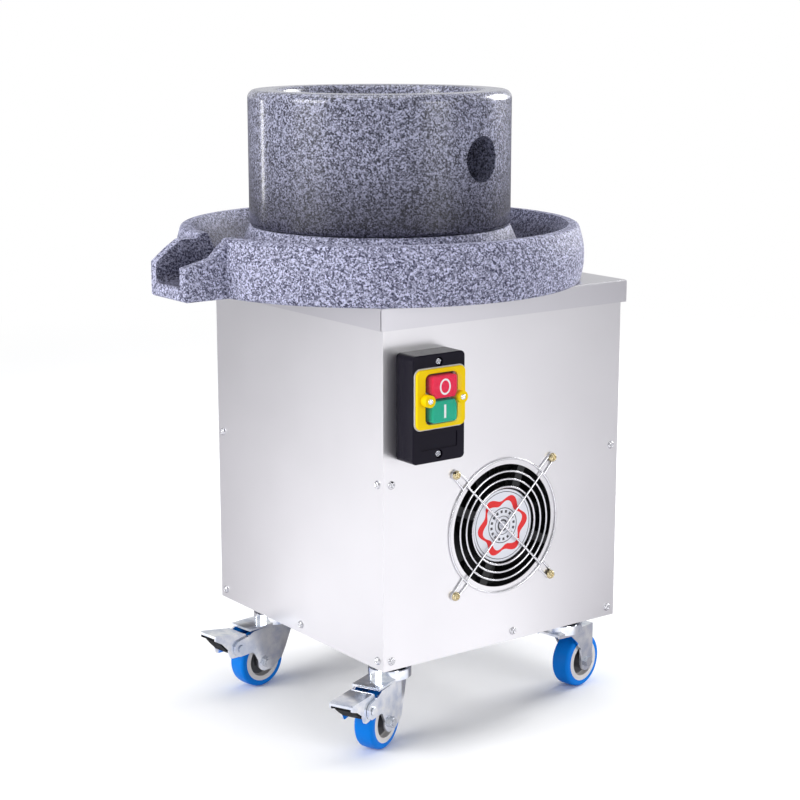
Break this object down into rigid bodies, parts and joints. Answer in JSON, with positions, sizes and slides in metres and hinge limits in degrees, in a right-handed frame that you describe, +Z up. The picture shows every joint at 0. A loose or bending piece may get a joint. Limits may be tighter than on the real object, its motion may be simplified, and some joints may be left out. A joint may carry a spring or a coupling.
{
  "type": "electric stone mill",
  "caption": "Electric granite stone mill with a pouring trough and spout, on a steel cabinet with a push-button switch, fan and braked swivel casters.",
  "frame": {"origin": "bottom centre of the bounding box, on the floor under the casters", "axes": "+Z up, the front panel with switch and fan faces -Y, the spout points to -X"},
  "size_m": [0.389, 0.355, 0.5438],
  "materials": {
    "runner_granite": "polished grey granite",
    "bed_granite": "honed grey granite",
    "machined_steel": "machined",
    "bearing_steel": "ground",
    "bush_bronze": "machined",
    "cast_case": "cast",
    "motor_shell": "cast with fins",
    "core_plates": "stacked plates",
    "cabinet_sheet": "satin stainless sheet",
    "plate_steel": "primed",
    "screw_steel": "bright",
    "yellow_zinc": "yellow zinc plated",
    "gland_plastic": "moulded",
    "capacitor_can": "drawn can",
    "fan_black": "moulded",
    "label_paper": "printed",
    "guard_wire": "plated wire",
    "box_black": "semi-gloss moulded",
    "bezel_yellow": "moulded",
    "window_clear": "clear",
    "stop_red": "moulded, printed ring",
    "start_green": "moulded, printed bar",
    "contact_plastic": "moulded",
    "zinc": "bright zinc",
    "tyre_blue": "moulded",
    "hub_cream": "moulded",
    "shoe_black": "moulded"
  },
  "bodies": {
    "cabinet": {"base_plate": "cabinet_sheet", "front_panel": "cabinet_sheet", "left_panel": "cabinet_sheet", "right_panel": "cabinet_sheet", "rear_panel": "cabinet_sheet", "corner_posts": "plate_steel", "top_cover": "cabinet_sheet", "mounting_plate": "plate_steel", "panel_screws": "screw_steel", "cable_gland": "gland_plastic", "motor_capacitor": "capacitor_can", "gearbox_case": "cast_case", "gearbox_cover": "cast_case", "motor_stator": "core_plates", "motor_housing": "motor_shell", "motor_end_cover": "motor_shell", "shaft_bearings": "bearing_steel", "hex_bolts": "screw_steel", "bed_stone": "bed_granite", "bed_bush": "bush_bronze", "fan_frame": "fan_black", "fan_label": "label_paper", "finger_guard": "guard_wire", "guard_screws": "yellow_zinc", "switch_box": "box_black", "switch_bezel": "bezel_yellow", "switch_window": "window_clear", "contact_block": "contact_plastic", "switch_screws": "screw_steel", "caster_plates": "zinc"},
    "spindle": {"spindle": "machined_steel", "output_gear": "machined_steel"},
    "runner": {"runner_stone": "runner_granite", "runner_driver": "machined_steel"},
    "countershaft": {"countershaft": "machined_steel"},
    "motor_rotor": {"motor_shaft": "machined_steel", "motor_rotor": "core_plates"},
    "fan_rotor": {"fan_rotor": "fan_black"},
    "stop_button": {"stop_button": "stop_red"},
    "start_button": {"start_button": "start_green"},
    "fork_front_left": {"fork_front_left": "zinc", "axle_front_left": "screw_steel"},
    "wheel_front_left": {"tyre_front_left": "tyre_blue", "hub_front_left": "hub_cream"},
    "pedal_front_left": {"pedal_front_left": "zinc", "shoe_front_left": "shoe_black"},
    "fork_front_right": {"fork_front_right": "zinc", "axle_front_right": "screw_steel"},
    "wheel_front_right": {"tyre_front_right": "tyre_blue", "hub_front_right": "hub_cream"},
    "fork_rear_left": {"fork_rear_left": "zinc", "axle_rear_left": "screw_steel"},
    "wheel_rear_left": {"tyre_rear_left": "tyre_blue", "hub_rear_left": "hub_cream"},
    "pedal_rear_left": {"pedal_rear_left": "zinc", "shoe_rear_left": "shoe_black"},
    "fork_rear_right": {"fork_rear_right": "zinc", "axle_rear_right": "screw_steel"},
    "wheel_rear_right": {"tyre_rear_right": "tyre_blue", "hub_rear_right": "hub_cream"}
  },
  "joints": [
    {"name": "spindle_spin", "type": "hinge", "parent": "cabinet", "child": "spindle", "pos_m": [0.017, 0, 0.36], "axis": [0, 0, 1], "continuous": true},
    {"name": "countershaft_spin", "type": "hinge", "parent": "cabinet", "child": "countershaft", "pos_m": [0.06594, 0.02282, 0.34], "axis": [0, 0, 1], "continuous": true},
    {"name": "motor_spin", "type": "hinge", "parent": "cabinet", "child": "motor_rotor", "pos_m": [0.08394, -0.00836, 0.25], "axis": [0, 0, 1], "continuous": true},
    {"name": "runner_lift", "type": "slide", "parent": "spindle", "child": "runner", "axis": [0, 0, 1], "range_m": [0, 0.06]},
    {"name": "fan_spin", "type": "hinge", "parent": "cabinet", "child": "fan_rotor", "pos_m": [0.0489, -0.114, 0.1805], "axis": [0, 1, 0], "continuous": true},
    {"name": "stop_press", "type": "slide", "parent": "cabinet", "child": "stop_button", "axis": [0, 1, 0], "range_m": [0, 0.003], "stiffness_N_per_m": 500, "springref_m": -0.002},
    {"name": "start_press", "type": "slide", "parent": "cabinet", "child": "start_button", "axis": [0, 1, 0], "range_m": [0, 0.003], "stiffness_N_per_m": 500, "springref_m": -0.002},
    {"name": "swivel_front_left", "type": "hinge", "parent": "cabinet", "child": "fork_front_left", "pos_m": [-0.0461, -0.1, 0.06], "axis": [0, 0, 1], "continuous": true},
    {"name": "roll_front_left", "type": "hinge", "parent": "fork_front_left", "child": "wheel_front_left", "pos_m": [-0.06574, -0.10874, 0.025], "axis": [0.4067, -0.9135, 0], "continuous": true},
    {"name": "brake_front_left", "type": "hinge", "parent": "fork_front_left", "child": "pedal_front_left", "pos_m": [-0.09178, -0.12034, 0.044], "axis": [0.4067, -0.9135, 0], "range_deg": [0, 20]},
    {"name": "swivel_front_right", "type": "hinge", "parent": "cabinet", "child": "fork_front_right", "pos_m": [0.1479, -0.1, 0.06], "axis": [0, 0, 1], "continuous": true},
    {"name": "roll_front_right", "type": "hinge", "parent": "fork_front_right", "child": "wheel_front_right", "pos_m": [0.16893, -0.09553, 0.025], "axis": [-0.2079, 0.9781, 0], "continuous": true},
    {"name": "swivel_rear_left", "type": "hinge", "parent": "cabinet", "child": "fork_rear_left", "pos_m": [-0.0461, 0.082, 0.06], "axis": [0, 0, 1], "continuous": true},
    {"name": "roll_rear_left", "type": "hinge", "parent": "fork_rear_left", "child": "wheel_rear_left", "pos_m": [-0.06739, 0.07901, 0.025], "axis": [0.1392, -0.9903, 0], "continuous": true},
    {"name": "brake_rear_left", "type": "hinge", "parent": "fork_rear_left", "child": "pedal_rear_left", "pos_m": [-0.09561, 0.07504, 0.044], "axis": [0.1392, -0.9903, 0], "range_deg": [0, 29]},
    {"name": "swivel_rear_right", "type": "hinge", "parent": "cabinet", "child": "fork_rear_right", "pos_m": [0.1479, 0.082, 0.06], "axis": [0, 0, 1], "continuous": true},
    {"name": "roll_rear_right", "type": "hinge", "parent": "fork_rear_right", "child": "wheel_rear_right", "pos_m": [0.1681, 0.08935, 0.025], "axis": [-0.342, 0.9397, 0], "continuous": true}
  ],
  "couplings": [
    {"joint": "countershaft_spin", "follows": "spindle_spin", "ratio": -5},
    {"joint": "motor_spin", "follows": "spindle_spin", "ratio": 25}
  ]
}
